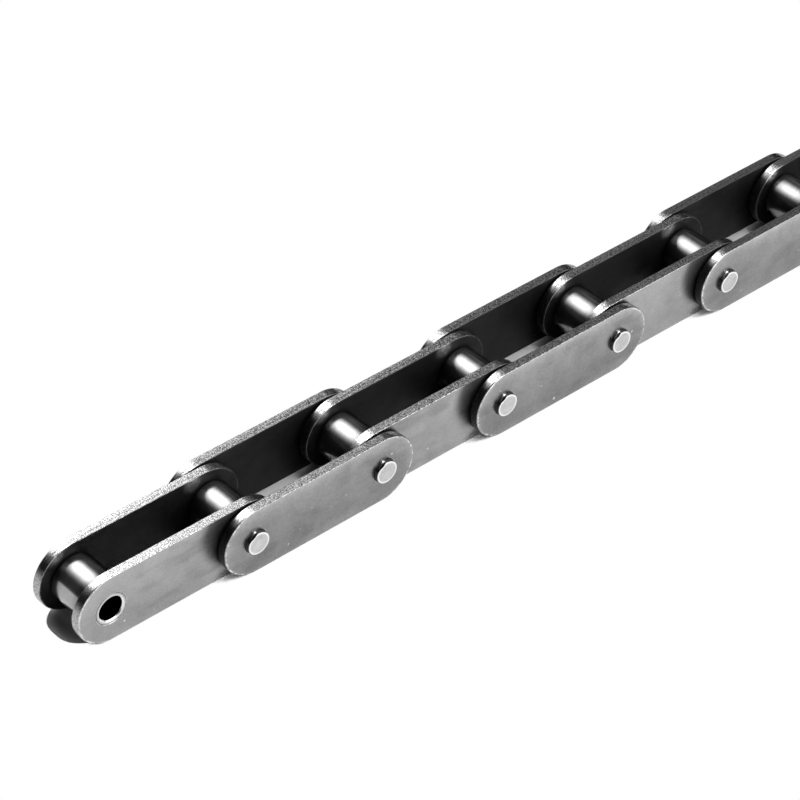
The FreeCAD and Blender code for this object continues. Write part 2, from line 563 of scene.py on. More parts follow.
@dataclass
class LinkPlate(Piece):
    """A side plate: a flat strip with half-round ends, pierced on both joint axes.

    Its outward face is at y = outward_y, and it faces along the sign of way. Lengths are in
    metres, and turns in degrees about the joint axis, up from the tip of the end. The spans of
    the sheared, edge and under layers are counted in corner rolls or radii. joined,
    unshaded_share and roller_reflection_share are for the left and the right half.
    """

    way: int
    hole_radius: float
    seed: int
    kind: LinkKind
    joined: tuple[bool, bool]
    # painted shade on the plate: its inward side, the edges of its round ends, and its lower edge
    inward_shade: float = 0.92
    edge_span: tuple[float, float] = (0.15, 0.65)
    unshaded_rim: float = 0.16 * MM
    unshaded_share: tuple[float, float] = (0.9, 0.25)
    band_turn: float = 42.0
    band_reach: float = 15.0
    band_shade: float = 0.75
    tip_turn: float = 60.0
    tip_shade: float = 0.30
    under_span: tuple[float, float] = (0.5, 1.0)
    under_rise: float = 0.2
    under_shade: float = 0.55
    covered_from: tuple[float, float] = (-80.0, -60.0)
    covered_to: tuple[float, float] = (62.0, 48.0)
    covered_shade: float = 0.98
    # painted reflection: the outer plate's dark end, mirrored in the inner plate's face as a disc
    # off the joint axis
    mirror_shade_middle: tuple[float, float] = (1.9 * MM, 3.3 * MM)
    mirror_shade_from: float = 7.8 * MM
    mirror_shade_to: float = 9.8 * MM
    mirror_shade_fade: float = 1.3
    mirror_shade_share: float = 0.73
    # painted reflection of the roller's highlight on an inner plate's inward face
    roller_reflection_middle: tuple[float, float] = (3.7 * MM, 6.5 * MM)
    roller_reflection_reach: float = 1.8 * MM
    roller_reflection_share: tuple[float, float] = (0.97, 0.72)
    lit_reach: float = 1.30 * MM
    lit_lean: float = 0.3
    outward_roll: float = 0.09 * MM
    end_roll: float = 0.30 * MM
    inward_roll: float = 0.09 * MM
    inward_end_roll: float = 0.20 * MM
    end_blend: float = 0.6
    end_smoothness: float = 0.35
    sheared_rise: float = 0.1
    sheared_fall: tuple[float, float] = (0.3, 1.3)
    straight_wear: float = 0.15
    rim_wear_reach: float = 0.11 * MM
    hole_roll: float = 0.10 * MM
    hole_wear: float = 0.5
    hole_wear_reach: float = 0.07 * MM
    shear_share: float = 0.56
    shear_rise: float = 0.10 * MM
    shear_step: float = 0.012 * MM
    shear_taper: float = 0.020 * MM
    wave: float = 0.006 * MM
    wave_limit: float = 2.2
    wave_reach: tuple[float, float] = (2.4, 1.1)
    smooth_waves: tuple[float, float] = (0.15, 0.6)
    corner_waves: tuple[float, float] = (1.0, 0.1)
    corner_rows: int = 6
    step_length: float = 0.20 * MM
    close_rings: tuple[float, ...] = (0.0, 0.08 * MM, 0.20 * MM, 0.45 * MM)
    wide_rings: tuple[float, float, int] = (0.18, 0.90, 11)
    strip_shift: float = 0.013

    def measure(self) -> None:
        """Read the plate's sizes from its CAD box."""
        low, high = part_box(self.node)
        self.radius = (high.z - low.z) / 2
        self.pitch = (high.x - low.x) - 2 * self.radius
        self.axis_x = low.x + self.radius
        self.axis_z = (high.z + low.z) / 2
        self.thickness = high.y - low.y
        self.outward_y = low.y if self.way < 0 else high.y

    def outline(self) -> tuple[np.ndarray, np.ndarray, np.ndarray]:
        """Lay out the left half of the outline about the left joint axis.

        The line runs from the middle of the upper edge, round the left end, to the middle of
        the lower edge: a straight run, a half circle whose angle goes from 90 to 270 degrees,
        and a straight run.

        Returns:
            Points as (x, z), outward directions as (x, z), and the length run so far.
        """
        half = self.pitch / 2
        straight = round(half / self.step_length) + 1
        round_end = round(math.pi * self.radius / self.step_length) + 1
        along = np.linspace(half, 0.0, straight)
        angle = np.linspace(math.pi / 2, 3 * math.pi / 2, round_end)[1:-1]
        flat, up = np.zeros(straight), np.ones(straight)
        out_x = np.concatenate([flat, np.cos(angle), flat])
        out_z = np.concatenate([up, np.sin(angle), -up])
        x = np.concatenate([along, self.radius * np.cos(angle), along[::-1]])
        z = self.radius * out_z
        run = np.concatenate([[0.0], np.cumsum(np.hypot(np.diff(x), np.diff(z)))])
        return np.stack([x, z], -1), np.stack([out_x, out_z], -1), run

    def edge_profile(self, roll: float, inward_roll: float) -> tuple[np.ndarray, ...]:
        """Lay out the section of the sheared edge, from the outward face to the inward one.

        Depth goes from 0 at the outward face to the thickness. Inset is how far the edge lies
        inside the outline: a quarter circle at each corner, 0 along the burnished part, and a
        step and a slope along the broken part.

        Args:
            roll: the radius of the outward corner.
            inward_roll: the radius of the inward corner.

        Returns:
            Depths, insets, the wear of each point, and how far it is in the broken part.
        """
        count = self.corner_rows
        corner = np.linspace(0.0, math.pi / 2, count)
        sink, slip = 1 - np.cos(corner), 1 - np.sin(corner)
        split = self.shear_share * self.thickness
        foot = self.thickness - inward_roll
        smooth = np.linspace(roll, split, count)[1:]
        broken = np.linspace(split + self.shear_rise, foot, count)[:-1]
        share = (broken - broken[0]) / (foot - broken[0])
        last_depth = self.thickness - inward_roll * sink[::-1]
        last_inset = self.shear_step + self.shear_taper + inward_roll * slip[::-1]
        depth = np.concatenate([roll * sink, smooth, broken, last_depth])
        inset = np.concatenate([
            roll * slip, np.zeros(count - 1), self.shear_step + self.shear_taper * share,
            last_inset])
        wear_and_highlight = np.concatenate([
            np.cos(corner) ** 3, np.zeros(2 * (count - 1)), np.sin(corner) ** 2])
        loose = np.concatenate([
            np.zeros(count), np.linspace(*self.smooth_waves, count - 1), np.ones(count - 1),
            np.linspace(*self.corner_waves, count)])
        return depth, inset, wear_and_highlight, loose

    def half(self, mirrored: bool, heights: np.ndarray) -> Surface:
        """Make one half of the plate, up to its middle line.

        The edge is the section carried along the outline. Each face blends in straight lines
        from the ring round the hole to the outline, at the same angles about the joint axis.
        The wall of the hole is the hole's section turned about that axis.

        Args:
            mirrored: whether this is the right half.
            heights: relief along the outline and across the edge, for this half.

        Returns:
            The surface, open along the middle line.
        """
        path, outward, run = self.outline()
        on_end = ramp(-path[:, :1], 0.0, self.end_blend * self.radius)
        depth, inset, wear_and_highlight, loose = (
            (1 - on_end) * straight[None, :] + on_end * turned[None, :]
            for straight, turned in zip(self.edge_profile(self.outward_roll, self.inward_roll),
                                        self.edge_profile(self.end_roll, self.inward_end_roll)))
        wear_and_highlight = wear_and_highlight * (self.straight_wear + (1 - self.straight_wear) * on_end)
        roll = self.outward_roll + on_end * (self.end_roll - self.outward_roll)
        sheared = ramp(depth / roll, 0.0, self.sheared_rise) * (1 - self.end_smoothness * on_end)
        sheared *= ramp((self.thickness - depth) / self.inward_roll, *self.sheared_fall)
        waves = self.wave_limit + np.clip(heights, -self.wave_limit, self.wave_limit)
        pushed = np.clip(inset + self.wave * loose * waves, 0.0, None)
        edge = path[:, None, :] - outward[:, None, :] * pushed[..., None]
        nominal = self.rim_with_middle(path)
        angle = np.arctan2(nominal[:, 1], nominal[:, 0])
        length = run if not mirrored else 2 * run[-1] - run
        grid = HalfGrid(edge[..., 0], edge[..., 1], depth, mirrored)
        parts = [self.patch(grid, wear_and_highlight, sheared, length[:, None], flip=False)]
        for column, flip in ((0, False), (-1, True)):
            parts.append(self.face(edge[:, column], angle, depth[0, column], wear_and_highlight[:, column],
                                   length, mirrored, flip))
        parts.append(self.hole_wall(angle, mirrored))
        return parts[0].joined(*parts[1:])

    def rim_with_middle(self, rim: np.ndarray) -> np.ndarray:
        """Close a half outline with points up the plate's middle line, from lower to upper.

        Args:
            rim: the points along the half outline.

        Returns:
            The same points, and those on the middle line after them.
        """
        count = round(self.radius / self.step_length)
        rise = np.linspace(rim[-1, 1], rim[0, 1], count + 1)[1:-1]
        middle = np.stack([np.full(len(rise), self.pitch / 2), rise], -1)
        return np.concatenate([rim, middle])

    def face(self, rim: np.ndarray, angle: np.ndarray, depth: float, wear_and_highlight: np.ndarray,
             length: np.ndarray, mirrored: bool, flip: bool) -> Surface:
        """Make a flat face of one half, from the ring round the hole to the rim.

        Args:
            rim: the rim of this face on the half outline.
            angle: the angles about the joint axis of the points on the ring round the hole.
            depth: how deep the face lies.
            wear_and_highlight: the wear of the rim, along it.
            length: the length run along the outline.
            mirrored: whether this is the right half.
            flip: whether the faces turn the other way.

        Returns:
            The face as a ring of quads, closed on itself.
        """
        outer = self.rim_with_middle(rim)
        round_hole = np.stack([np.cos(angle), np.sin(angle)], -1)
        inner = (self.hole_radius + self.hole_roll) * round_hole
        span = np.hypot(*(outer - inner).T)[:, None]
        close = np.array(self.close_rings)[None, :] / span
        wide = np.linspace(*self.wide_rings)
        wide = np.broadcast_to(wide, (len(span), len(wide)))
        shares = np.sort(np.concatenate([close, wide, 1 - close], axis=1), axis=1)
        x, z = inner.T[..., None] * (1 - shares) + outer.T[..., None] * shares
        in_middle = np.zeros(len(outer) - len(rim))
        on_rim = np.concatenate([wear_and_highlight, in_middle])[:, None]
        run = np.concatenate([length, in_middle + length[-1]])[:, None]
        by_rim = on_rim * bell((1 - shares) * span, 0.0, self.rim_wear_reach)
        by_hole = self.hole_wear * bell(shares * span, 0.0, self.hole_wear_reach)
        grid = HalfGrid(x, z, np.full(shares.shape, depth), mirrored)
        return self.patch(grid, np.maximum(by_rim, by_hole), 0.0, run, flip, closed=True)

    def hole_wall(self, angle: np.ndarray, mirrored: bool) -> Surface:
        """Turn the hole's section about the joint axis, with a small corner at each mouth.

        Args:
            angle: the angles about the joint axis of the points on the section's rings.
            mirrored: whether this is the right half.

        Returns:
            The wall, closed on itself.
        """
        roll, foot = self.hole_roll, self.thickness
        bend = 0.35 * roll
        depth = np.array([0.0, bend, roll, 0.5 * foot, foot - roll, foot])
        radius = self.hole_radius + np.array([roll, bend, 0.0, 0.0, 0.0, roll])
        wear_and_highlight = self.hole_wear * np.array([1.0, 0.6, 0.0, 0.0, 0.0, 1.0])
        x, z = radius * np.cos(angle)[:, None], radius * np.sin(angle)[:, None]
        grid = HalfGrid(x, z, np.broadcast_to(depth, x.shape), mirrored)
        return self.patch(grid, wear_and_highlight, 0.0, 0.0, flip=True, closed=True)

    def inwardness(self, grid: HalfGrid) -> np.ndarray:
        """Give 1 on the inward face and half of its corner, and 0 on the rest."""
        corner = self.thickness - self.inward_roll
        return ramp(grid.depth, corner, corner + 0.5 * self.inward_roll)

    def roller_reflection(self, grid: HalfGrid) -> np.ndarray:
        """Say how strongly an inner plate's inward face shows a painted reflection of the roller's
        highlight, over the roller's left side.

        The share fades as exp(-s⁴) with the distance s from its middle, counted in reaches.

        Args:
            grid: the points of one half.

        Returns:
            A share from 0 to 1 for each point.
        """
        middle = self.roller_reflection_middle[0] * (1 if grid.mirrored else -1)
        away = np.hypot(grid.x - middle, grid.z - self.roller_reflection_middle[1]) / self.roller_reflection_reach
        share = self.roller_reflection_share[int(grid.mirrored)] * (self.kind is LinkKind.INNER)
        return share * np.exp(-away ** 4) * self.inwardness(grid)

    def shade_and_grime(self, grid: HalfGrid) -> np.ndarray:
        """Say how much painted shade lies on each point of a half.

        The inward side is painted dark, for the shade between the plates, up to an unshaded rim of
        its round ends. Where another link overlaps this one, painted shade lies on the edge of the
        half-round end, away from its top, and a painted reflection of the outer plate's dark end
        lies on the right end of an inner plate, in a disc whose middle is off the joint axis,
        inward and up. The edge of every half-round end has a painted darker band below its top,
        and the lower edge has painted shade.

        Args:
            grid: the points of one half.

        Returns:
            Painted shade from 0 to 1 for each point.
        """
        x, z, depth, right = grid.x, grid.z, grid.depth, int(grid.mirrored)
        # painted shade: the inward side is painted dark, as it mirrors only shade between the
        # plates, but for a thin rim round each round end
        unshaded = bell(np.hypot(x, z), self.radius, self.unshaded_rim)
        inward = self.inwardness(grid) * (1 - self.unshaded_share[right] * (x < 0) * unshaded)
        turn = np.degrees(np.arctan2(z, -x))
        on_edge = (x < 0) * ramp(depth / self.end_roll, *self.edge_span)
        # painted shade on the round ends' edges: a band below the top, the tip, the lower edge,
        # and ends hidden inside an overlapping link
        band = self.band_shade * bell(turn, self.band_turn, self.band_reach)
        painted_shade = on_edge * (band + self.tip_shade * (np.abs(turn) < self.tip_turn))
        under = ramp(-z / self.radius, *self.under_span)
        under = under * ramp(depth / self.outward_roll, 0.0, self.under_rise)
        painted_shade = np.maximum(painted_shade, self.under_shade * under)
        if self.joined[right]:
            covered = ramp(turn, *self.covered_to) * ramp(turn, *self.covered_from)
            painted_shade = np.maximum(painted_shade, self.covered_shade * covered * on_edge)
        # painted reflection: a dark disc on an inner plate's right end, where the outer plate's
        # end mirrors in it
        if self.joined[1] and right and self.kind is LinkKind.INNER:
            reach = np.hypot(x - self.mirror_shade_middle[0], z - self.mirror_shade_middle[1])
            mirror_shade = ramp(reach, self.mirror_shade_to, self.mirror_shade_from) ** self.mirror_shade_fade
            painted_shade = np.maximum(painted_shade, self.mirror_shade_share * mirror_shade * (depth < self.outward_roll / 2))
        return np.maximum(self.inward_shade * inward, np.minimum(painted_shade, 1.0) * (1 - inward))

    def patch(self, grid: HalfGrid, wear_and_highlight: np.ndarray, sheared: np.ndarray | float,
              run: np.ndarray | float, flip: bool, closed: bool = False) -> Surface:
        """Place a grid into the frame and give it its layers.

        Args:
            grid: the points of one half.
            wear_and_highlight: the layer of wear and painted highlights.
            sheared: the sheared layer.
            run: the length along the outline, for the strip layer.
            flip: whether to turn the faces.
            closed: whether the rows of the grid close on themselves.

        Returns:
            The placed surface.
        """
        x, z, depth = grid.x, grid.z, grid.depth
        along = self.pitch - x if grid.mirrored else x
        y = self.outward_y - self.way * depth
        faces = grid_faces(x.shape[1], x.shape[0], closed)
        if flip ^ grid.mirrored ^ (self.way < 0):
            faces = faces[:, ::-1]
        to_rim = self.radius - np.where(x < 0, np.hypot(x, z), np.abs(z))
        upper = 1 - self.lit_lean + self.lit_lean * z / self.radius
        roller_reflection = self.roller_reflection(grid)
        layers = {
            # painted reflection of the roller's highlight: there the painted shade is lifted and
            # the bright wear tone painted in
            ZONE.wear_and_highlight: np.maximum(wear_and_highlight, roller_reflection),
            ZONE.sheared: sheared,
            ZONE.grime_and_shade: self.shade_and_grime(grid) * (1 - roller_reflection),
            ZONE.lit: np.exp(-to_rim / self.lit_reach) * upper}
        layers = {name: np.broadcast_to(layer, x.shape).T.ravel()
                  for name, layer in layers.items()}
        layers[ZONE.strip] = self.columns(run, depth, self.strip_shift * self.seed)
        return Surface(self.columns(self.axis_x + along, y, self.axis_z + z), faces, layers)

    @staticmethod
    def columns(*parts: np.ndarray | float) -> np.ndarray:
        """Stack three grids into points, kept column by column."""
        return np.stack(np.broadcast_arrays(*parts), -1).transpose((1, 0, 2)).reshape(-1, 3)

    def surface(self) -> Surface:
        """Join the plate's two halves, with one relief that runs round the whole outline.

        Returns:
            The closed surface.
        """
        self.measure()
        count = len(self.outline()[2])
        columns = len(self.edge_profile(self.outward_roll, self.inward_roll)[0])
        whole = 2 * (count - 1)
        relief = ripple(self.seed, (whole, columns), self.wave_reach)
        left = np.arange(count)
        right = (whole - left) % whole
        return self.half(False, relief[left]).joined(self.half(True, relief[right]))


@dataclass
class RoundPiece(Piece):
    """A piece turned about its joint axis from a section; lengths are in metres.

    own_lines moves the turning lines along with the axis, so that no two pieces have the same.
    """

    turns: int = 144
    own_lines: float = 7.0

    def measure(self) -> None:
        """Read the axis, the radius and the length from the CAD box."""
        low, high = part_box(self.node)
        self.radius = (high.z - low.z) / 2
        self.axis_x = (high.x + low.x) / 2
        self.axis_z = (high.z + low.z) / 2
        self.start_y = low.y
        self.end_y = high.y
        self.middle_y = (low.y + high.y) / 2

    def section(self) -> tuple[np.ndarray, np.ndarray, np.ndarray]:
        """Give the section as radii, places along Y and wear; each kind of piece has its own."""
        raise NotImplementedError

    def shade_and_grime(self, radius: np.ndarray, along: np.ndarray) -> np.ndarray:
        """Say how dark the section is painted, by shade and by dark joint lines; each kind of
        piece has its own.
        """
        raise NotImplementedError

    def surface(self) -> Surface:
        """Turn the section about the joint axis.

        A point is at the axis plus its radius times the cosine and sine of the angle along X
        and Z.

        Returns:
            The turned surface.
        """
        self.measure()
        radius, along, wear_and_highlight = self.section()
        angle = np.linspace(0.0, 2 * math.pi, self.turns, endpoint=False)
        shape = (len(radius), self.turns)
        place = np.stack([
            self.axis_x + radius[:, None] * np.cos(angle)[None, :],
            np.broadcast_to(along[:, None], shape),
            self.axis_z + radius[:, None] * np.sin(angle)[None, :]], -1)
        run = np.concatenate([[0.0], np.cumsum(np.hypot(np.diff(radius), np.diff(along)))])
        strip = np.zeros(shape + (3,))
        strip[..., 1] = run[:, None] + self.own_lines * self.axis_x
        faces = grid_faces(len(radius), self.turns, closed=True)[:, ::-1]
        return Surface(place.reshape(-1, 3), faces, {
            ZONE.wear_and_highlight: np.repeat(wear_and_highlight, self.turns),
            ZONE.grime_and_shade: np.repeat(self.shade_and_grime(radius, along), self.turns),
            ZONE.strip: strip.reshape(-1, 3)})


@dataclass
class Pin(RoundPiece):
    """A solid pin with flat ends and rounded, rubbed rims.

    The rubbed ring is counted in radii of the flat end, and the side's span in rims inward.
    """

    rim: float = 0.22 * MM
    doming: float = 0.03 * MM
    proud: float = 1.0 * MM
    rubbed_ring: tuple[float, float] = (0.86, 0.96)
    # painted shade on the pin's side
    side_shade: float = 0.86
    side_span: tuple[float, float] = (0.7, 0.2)
    side_from: float = 0.99
    dent_angle: float = math.radians(125.0)
    dent_half_angle: float = math.radians(31.0)
    dent_depth: float = 0.34 * MM
    dent_foot: float = 0.80 * MM
    burr_angle: float = math.radians(104.0)
    burr_half_angle: float = math.radians(12.0)
    burr_height: float = 0.30 * MM
    burr_from_end: float = 0.76 * MM
    burr_reach: float = 0.20 * MM
    end_rows: int = 18
    rim_rows: int = 8
    side_rows: int = 11

    def section(self) -> tuple[np.ndarray, np.ndarray, np.ndarray]:
        """Run from the middle of the front end over its rim to the middle, and on mirrored.

        Returns:
            Radii, places along Y and wear.
        """
        flat = np.linspace(0.0, self.radius - self.rim, self.end_rows)
        from_axis = flat / flat[-1]
        flat_y = self.start_y + self.doming * from_axis ** 4
        turn = np.linspace(0.0, math.pi / 2, self.rim_rows + 1)[1:]
        rim_radius = self.radius - self.rim + self.rim * np.sin(turn)
        rim_y = self.start_y + self.doming + (self.rim - self.doming) * (1 - np.cos(turn))
        stations = (rim_y[-1], self.start_y + self.proud, self.middle_y)
        shank = np.concatenate([
            np.linspace(near, far, self.side_rows + 1)[1:]
            for near, far in zip(stations, stations[1:])])
        radius = np.concatenate([flat, rim_radius, np.full(len(shank), self.radius)])
        along = np.concatenate([flat_y, rim_y, shank])
        wear_and_highlight = np.concatenate([
            ramp(from_axis, *self.rubbed_ring), np.cos(turn) ** 2, np.zeros(len(shank))])
        return (np.concatenate([radius, radius[::-1]]),
                np.concatenate([along, (2 * self.middle_y - along)[::-1]]),
                np.concatenate([wear_and_highlight, wear_and_highlight[::-1]]))

    def shade_and_grime(self, radius: np.ndarray, along: np.ndarray) -> np.ndarray:
        """Paint shade on the pin's side and leave its ends and rims unshaded."""
        return self.side_shade * ramp((self.radius - radius) / self.rim, *self.side_span)

    def surface(self) -> Surface:
        """Turn the section, then press a stake's dent into both ends and raise a burr at its foot.

        The radius shrinks by a raised cosine of the angle from the dent, times the fourth power
        of the radius over the pin's, times a fade down to the dent's foot. The pin's side rises
        by a bell curve of the angle from the burr times one of the distance from the end, and
        there it is left out of the painted shade and painted bright, as a glint.

        Returns:
            The closed surface.
        """
        pin = super().surface()
        x, y, z = pin.points.T - np.array([[self.axis_x], [0.0], [self.axis_z]])
        radius, angle = np.hypot(x, z), np.arctan2(z, x)
        from_end = np.minimum(y - self.start_y, self.end_y - y)
        turn = self.angle_from(angle, self.dent_angle) / self.dent_half_angle
        raised = (1 + np.cos(math.pi * np.clip(turn, -1.0, 1.0))) / 2
        fade = ramp(from_end, self.dent_foot, 0.5 * self.dent_foot)
        dent = self.dent_depth * raised * (radius / self.radius) ** 4 * fade
        beside = self.angle_from(angle, self.burr_angle)
        burr = bell(beside, 0.0, self.burr_half_angle)
        burr *= bell(from_end, self.burr_from_end, self.burr_reach)
        burr *= radius > self.side_from * self.radius
        scale = 1 + (self.burr_height * burr - dent) / np.maximum(radius, MM)
        points = np.stack([self.axis_x + x * scale, y, self.axis_z + z * scale], -1)
        # painted highlight: the raised burr is left out of the painted shade and takes the bright
        # wear tone, as a glint
        pin.attributes[ZONE.grime_and_shade] = pin.attributes[ZONE.grime_and_shade] * (1 - burr)
        pin.attributes[ZONE.wear_and_highlight] = np.maximum(pin.attributes[ZONE.wear_and_highlight], burr)
        return Surface(points, pin.faces, pin.attributes)

    @staticmethod
    def angle_from(angle: np.ndarray, middle: float) -> np.ndarray:
        """Give the angles measured from a middle one, between minus and plus half a turn."""
        return (angle - middle + math.pi) % (2 * math.pi) - math.pi


@dataclass
class Tube(RoundPiece):
    """A bush or a roller: a tube with a rounded outer rim and a coned mouth at each end."""

    bore_radius: float = 0.0
    bore_shade: float = 1.0
    bore_edge: float = 0.05 * MM
    end_band_shade: float = 0.0
    end_reach: float = 3.2 * MM
    outer_rim: float = 0.14 * MM
    mouth: float = 0.28 * MM
    ring_wear: float = 0.9
    joint_grime: float = 0.0
    joint_span: tuple[float, float] = (0.9, 0.0)
    bore_rows: int = 10
    mouth_rows: int = 4
    land_rows: int = 5
    rim_rows: int = 7
    side_rows: int = 15

    def shade_and_grime(self, radius: np.ndarray, along: np.ndarray) -> np.ndarray:
        """Paint shade in the bore up to the foot of its mouth and in a band at each end, and a
        dark joint line round the outer rims.

        Args:
            radius: the section's radii.
            along: the section's places along Y.

        Returns:
            Painted shade, with dark joint lines, from 0 to 1 for each point of the section.
        """
        from_end = np.minimum(along - self.start_y, self.end_y - along)
        # painted shade: a roller is darker towards each end, where the plates shade it
        band = self.end_band_shade * ramp(from_end, self.end_reach, 0.0)
        rim = ramp((self.radius - radius) / self.outer_rim, *self.joint_span)
        band = np.maximum(band, self.joint_grime * rim * (from_end < 2 * self.outer_rim))
        # painted shade: the bore is dark inside
        return np.where(radius < self.bore_radius + self.bore_edge, self.bore_shade, band)

    def section(self) -> tuple[np.ndarray, np.ndarray, np.ndarray]:
        """Run from the middle of the bore out through the front mouth and back outside.

        The rear is its mirror image, with the wear one row nearer to the bore.

        Returns:
            Radii, places along Y and wear.
        """
        mouth, rim, middle = self.mouth, self.outer_rim, self.middle_y
        bore = np.linspace(middle, self.start_y + mouth, self.bore_rows)
        cone = np.linspace(0.0, 1.0, self.mouth_rows + 1)[1:]
        land = np.linspace(self.bore_radius + mouth, self.radius - rim, self.land_rows + 1)[1:]
        turn = np.linspace(0.0, math.pi / 2, self.rim_rows + 1)[1:]
        outside = np.linspace(self.start_y + rim, middle, self.side_rows + 1)[1:]
        radius = np.concatenate([
            np.full(len(bore), self.bore_radius), self.bore_radius + mouth * cone, land,
            self.radius - rim * (1 - np.sin(turn)), np.full(len(outside), self.radius)])
        along = np.concatenate([
            bore, self.start_y + mouth * (1 - cone), np.full(len(land), self.start_y),
            self.start_y + rim * (1 - np.cos(turn)), outside])
        fade = np.linspace(1.0, 0.0, len(land) + 1)[1:] ** 2
        wear_and_highlight = self.ring_wear * np.concatenate([
            np.zeros(len(bore)), np.ones(len(cone)), fade, np.zeros(len(turn) + len(outside))])
        return (np.concatenate([radius[:-1], radius[:0:-1]]),
                np.concatenate([along[:-1], (2 * middle - along)[:0:-1]]),
                np.concatenate([wear_and_highlight[:-1], wear_and_highlight[-2::-1]]))

    def surface(self) -> Surface:
        """Turn the section, and close it from the rear mouth through the bore.

        Returns:
            The closed surface.
        """
        ring = super().surface()
        column = np.arange(self.turns)
        after = (column + 1) % self.turns
        last = len(ring.points) - self.turns
        closing = np.stack([column, after, last + after, last + column], -1)
        return Surface(ring.points, np.concatenate([ring.faces, closing]), ring.attributes)


# Links and the strand


@dataclass
class Finishes:
    """The strand's materials, one for each of the record's slots."""

    inner_plate: bpy.types.Material
    outer_plate: bpy.types.Material
    bush: bpy.types.Material
    roller: bpy.types.Material
    pin: bpy.types.Material

    @staticmethod
    def build() -> "Finishes":
        """Make all five materials from their finishes.

        Returns:
            The materials.
        """
        return Finishes(
            inner_plate=PlateFinish("inner_plate_steel").build(),
            outer_plate=PlateFinish("outer_plate_steel", tone=0.295, shade=0.28, rim_light=0.75,
                                    smear=0.05, edge_tone=0.75).build(),
            bush=RoundFinish("bush_steel", tone=0.46, roughness=0.28).build(),
            roller=RoundFinish("roller_steel", tone=0.36, roughness=0.18, stain=0.15).build(),
            pin=RoundFinish("pin_steel", tone=0.55, roughness=0.32, stain=0.39, speckle=0.26,
                            wear_and_highlight_tone=0.95).build())


@dataclass
class Link:
    """One link of the strand, and the pieces that it is made of. Radii are in metres."""

    number: int
    kind: LinkKind
    finishes: Finishes
    joined: tuple[bool, bool]
    bush_radius: float = 3.42 * MM
    bush_bore: float = 2.59 * MM
    roller_bore: float = 3.49 * MM
    pin_radius: float = 2.54 * MM

    @property
    def body(self) -> str:
        """The CAD body that the link's fixed pieces ride on."""
        return f"{self.kind.value}_link_{self.number}"

    def plates(self) -> list[LinkPlate]:
        """Lay out the front and the rear plate.

        Returns:
            The two plates, not yet made.
        """
        inner = self.kind is LinkKind.INNER
        material = self.finishes.inner_plate if inner else self.finishes.outer_plate
        hole = self.bush_radius if inner else self.pin_radius
        return [
            LinkPlate(f"link_{self.number}_{side.name.lower()}_plate", self.body,
                      f"{self.kind.value}_plate_steel", material, way=side.value,
                      hole_radius=hole, seed=10 * self.number + side.value + 1,
                      kind=self.kind, joined=self.joined)
            for side in Side]

    def round_pieces(self) -> list[RoundPiece]:
        """Lay out the pins of an outer link, or the bushes and rollers of an inner one.

        Returns:
            The round pieces, not yet made.
        """
        pieces: list[RoundPiece] = []
        for end in ("left", "right"):
            node = f"link_{self.number}_{end}"
            if self.kind is LinkKind.OUTER:
                pieces.append(Pin(f"{node}_pin", self.body, "pin_steel", self.finishes.pin))
                continue
            pieces.append(Tube(f"{node}_bush", self.body, "bush_steel", self.finishes.bush,
                               bore_radius=self.bush_bore, joint_grime=0.9))
            pieces.append(Tube(f"{node}_roller", f"roller_{self.number}_{end}", "roller_steel",
                               self.finishes.roller, bore_radius=self.roller_bore,
                               outer_rim=0.35 * MM, mouth=0.10 * MM, ring_wear=0.15,
                               end_band_shade=0.75))
        return pieces

    def dress(self) -> list[bpy.types.Object]:
        """Make every piece of the link."""
        return [piece.dress() for piece in [*self.plates(), *self.round_pieces()]]


@dataclass
class Strand:
    """The whole strand: inner and outer links in turn."""

    link_count: int
    finishes: Finishes

    def dress(self) -> list[bpy.types.Object]:
        """Make the links one after the other.

        Returns:
            All their pieces.
        """
        made: list[bpy.types.Object] = []
        for number in range(1, self.link_count + 1):
            kind = LinkKind.INNER if number % 2 else LinkKind.OUTER
            joined = (number > 1, number < self.link_count)
            made += Link(number, kind, self.finishes, joined).dress()
        return made


# Studio


def make_stage(name: str, surface: Surface, material: bpy.types.Material,
               seen: bool = False) -> bpy.types.Object:
    """Make a piece of the stage.

    Args:
        name: the piece's name.
        surface: the welded surface.
        material: what it is made of.
        seen: whether the camera sees it and it casts a shadow.

    Returns:
        The new object.
    """
    item = make_object(name, surface, material)
    item.visible_camera = item.visible_shadow = seen
    return item


@dataclass
class SoftPanel:
    """A round soft light: a disc that glows most in its middle and fades out to its rim.

    The glow at a share s of the radius is 1 / (1 + exp((s - 1) / fade)), and the disc goes on
    for a few fades past its radius. Lengths are in metres.
    """

    name: str
    place: tuple[float, float, float]
    radius: float
    fade: float
    strength: float
    target: tuple[float, float, float] = (0.0, 0.0, 0.0075)
    fades: float = 5.5
    rings: int = 40
    spokes: int = 64

    def build(self) -> bpy.types.Object:
        """Make the disc, unseen by the camera and casting no shadow itself.

        Returns:
            The disc.
        """
        toward = (Vector(self.target) - Vector(self.place)).normalized()
        side = toward.orthogonal().normalized()
        other = toward.cross(side)
        shares = np.linspace(0.0, 1.0 + self.fades * self.fade, self.rings)
        angle = np.linspace(0.0, 2 * math.pi, self.spokes, endpoint=False)[None, :, None]
        reach = self.radius * shares[:, None, None]
        points = (np.array(self.place) + reach * np.cos(angle) * np.array(side)
                  + reach * np.sin(angle) * np.array(other))
        glow = np.repeat(1 / (1 + np.exp((shares - 1) / self.fade)), self.spokes)
        faces = grid_faces(self.rings, self.spokes, closed=True)
        disc = Surface(points.reshape(-1, 3), faces, {ZONE.glow: glow})
        material, graph = new_material(self.name)
        light = graph.math("MULTIPLY", graph.layer(ZONE.glow), self.strength)
        graph.finish(graph.add("ShaderNodeEmission", {"Strength": light}).outputs[0])
        return make_stage(self.name, disc.welded(), material)


